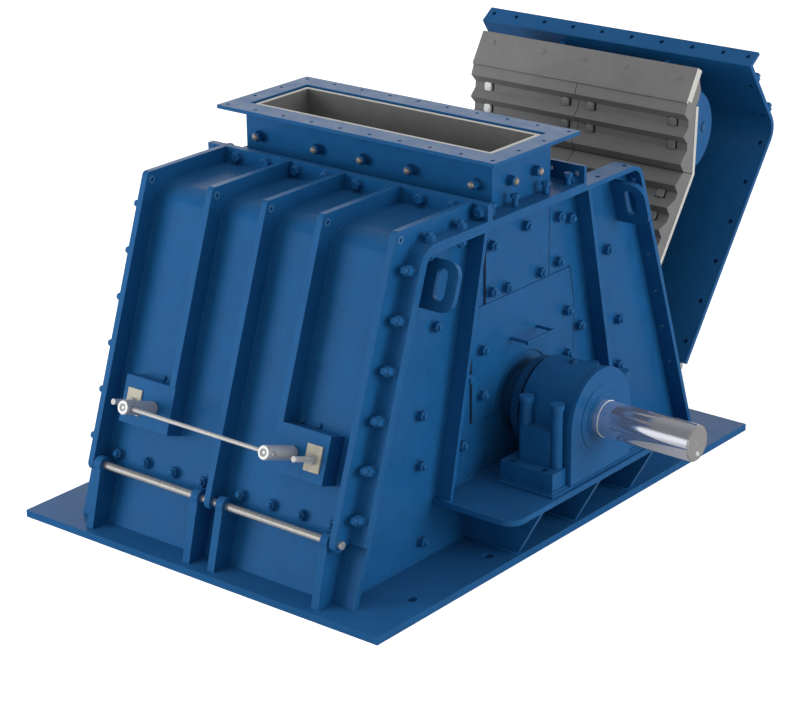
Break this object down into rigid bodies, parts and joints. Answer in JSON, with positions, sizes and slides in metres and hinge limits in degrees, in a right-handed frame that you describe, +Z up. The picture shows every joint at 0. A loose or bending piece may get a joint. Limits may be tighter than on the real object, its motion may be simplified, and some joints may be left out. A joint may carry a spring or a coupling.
{
  "type": "reversible coal crusher",
  "caption": "Floor-standing coal crusher with a top feed inlet, a rotor on outboard pillow blocks, and hinged end doors that carry adjustable corrugated breaker aprons, the rear door open.",
  "frame": {"origin": "centre of the underside of the base plate, which is also the centre of the outer anchor holes", "axes": "+X along the rotor towards its drive end, -Y towards the shut front door, +Y towards the open rear door, +Z up"},
  "size_m": [3.246, 4.0789, 2.0751],
  "materials": {
    "paint": "blue gloss paint on steel plate",
    "liner_steel": "bare cast wear plate, satin",
    "rotor_iron": "bare cast steel",
    "rod_steel": "turned steel",
    "shaft_steel": "ground and polished",
    "plate_cream": "matt cream primer",
    "seal_iron": "dark machined iron"
  },
  "bodies": {
    "housing": {"base_plate": "paint", "side_plates": "paint", "side_flanges": "paint", "side_stiffeners": "paint", "lifting_lugs": "paint", "access_panels": "paint", "panel_handles": "paint", "end_walls": "paint", "top_beams": "paint", "hinge_gussets": "paint", "hinge_pins": "rod_steel", "bearing_shelves": "paint", "shelf_gussets": "paint", "bearing_soles": "paint", "bearings": "paint", "cap_bolts": "paint", "shaft_seals": "seal_iron", "side_liners": "liner_steel", "inlet_box": "paint", "inlet_flange": "paint", "inlet_liners": "liner_steel"},
    "rotor": {"rotor_shaft": "shaft_steel", "rotor_discs": "rotor_iron", "rotor_spacers": "rotor_iron", "hammer_pins": "rod_steel", "hammers": "rotor_iron"},
    "front_door": {"front_door_shell": "paint", "front_door_ribs": "paint", "front_hangers": "paint", "front_pivot_rod": "rod_steel", "front_adjuster_boxes": "paint", "front_clamp_plates": "plate_cream", "front_jacks": "rod_steel", "front_cross_shaft": "rod_steel"},
    "rear_door": {"rear_door_shell": "paint", "rear_door_ribs": "paint", "rear_hangers": "paint", "rear_pivot_rod": "rod_steel", "rear_adjuster_boxes": "paint", "rear_clamp_plates": "plate_cream", "rear_jacks": "rod_steel", "rear_cross_shaft": "rod_steel"},
    "front_breaker": {"front_breaker_carrier": "paint", "front_breaker_liners": "liner_steel", "front_curtain": "liner_steel"},
    "rear_breaker": {"rear_breaker_carrier": "paint", "rear_breaker_liners": "liner_steel", "rear_curtain": "liner_steel"},
    "front_adjuster": {"front_screws": "rod_steel"},
    "rear_adjuster": {"rear_screws": "rod_steel"}
  },
  "joints": [
    {"name": "rotor_spin", "type": "hinge", "parent": "housing", "child": "rotor", "pos_m": [0, 0, 0.66], "axis": [1, 0, 0], "continuous": true},
    {"name": "front_door_hinge", "type": "hinge", "parent": "housing", "child": "front_door", "pos_m": [0, -1.49, 0.36], "axis": [1, 0, 0], "range_deg": [0, 55.5]},
    {"name": "rear_door_hinge", "type": "hinge", "parent": "housing", "child": "rear_door", "pos_m": [0, 1.49, 0.36], "axis": [-1, 0, 0], "range_deg": [-55.5, 0]},
    {"name": "front_breaker_hinge", "type": "hinge", "parent": "front_door", "child": "front_breaker", "pos_m": [0, -0.61751, 1.39365], "axis": [1, 0, 0], "range_deg": [0, 7.5]},
    {"name": "rear_breaker_hinge", "type": "hinge", "parent": "rear_door", "child": "rear_breaker", "pos_m": [0, 1.84767, 1.66451], "axis": [-1, 0, 0], "range_deg": [0, 7.5]},
    {"name": "front_adjuster_slide", "type": "slide", "parent": "front_door", "child": "front_adjuster", "axis": [0, 0.9444, -0.3289], "range_m": [0, 0.12]},
    {"name": "rear_adjuster_slide", "type": "slide", "parent": "rear_door", "child": "rear_adjuster", "axis": [0, -0.8059, 0.592], "range_m": [0, 0.12]}
  ],
  "couplings": [
    {"joint": "front_adjuster_slide", "follows": "front_breaker_hinge", "m_per_rad": 0.8965},
    {"joint": "rear_adjuster_slide", "follows": "rear_breaker_hinge", "m_per_rad": 0.8965}
  ]
}
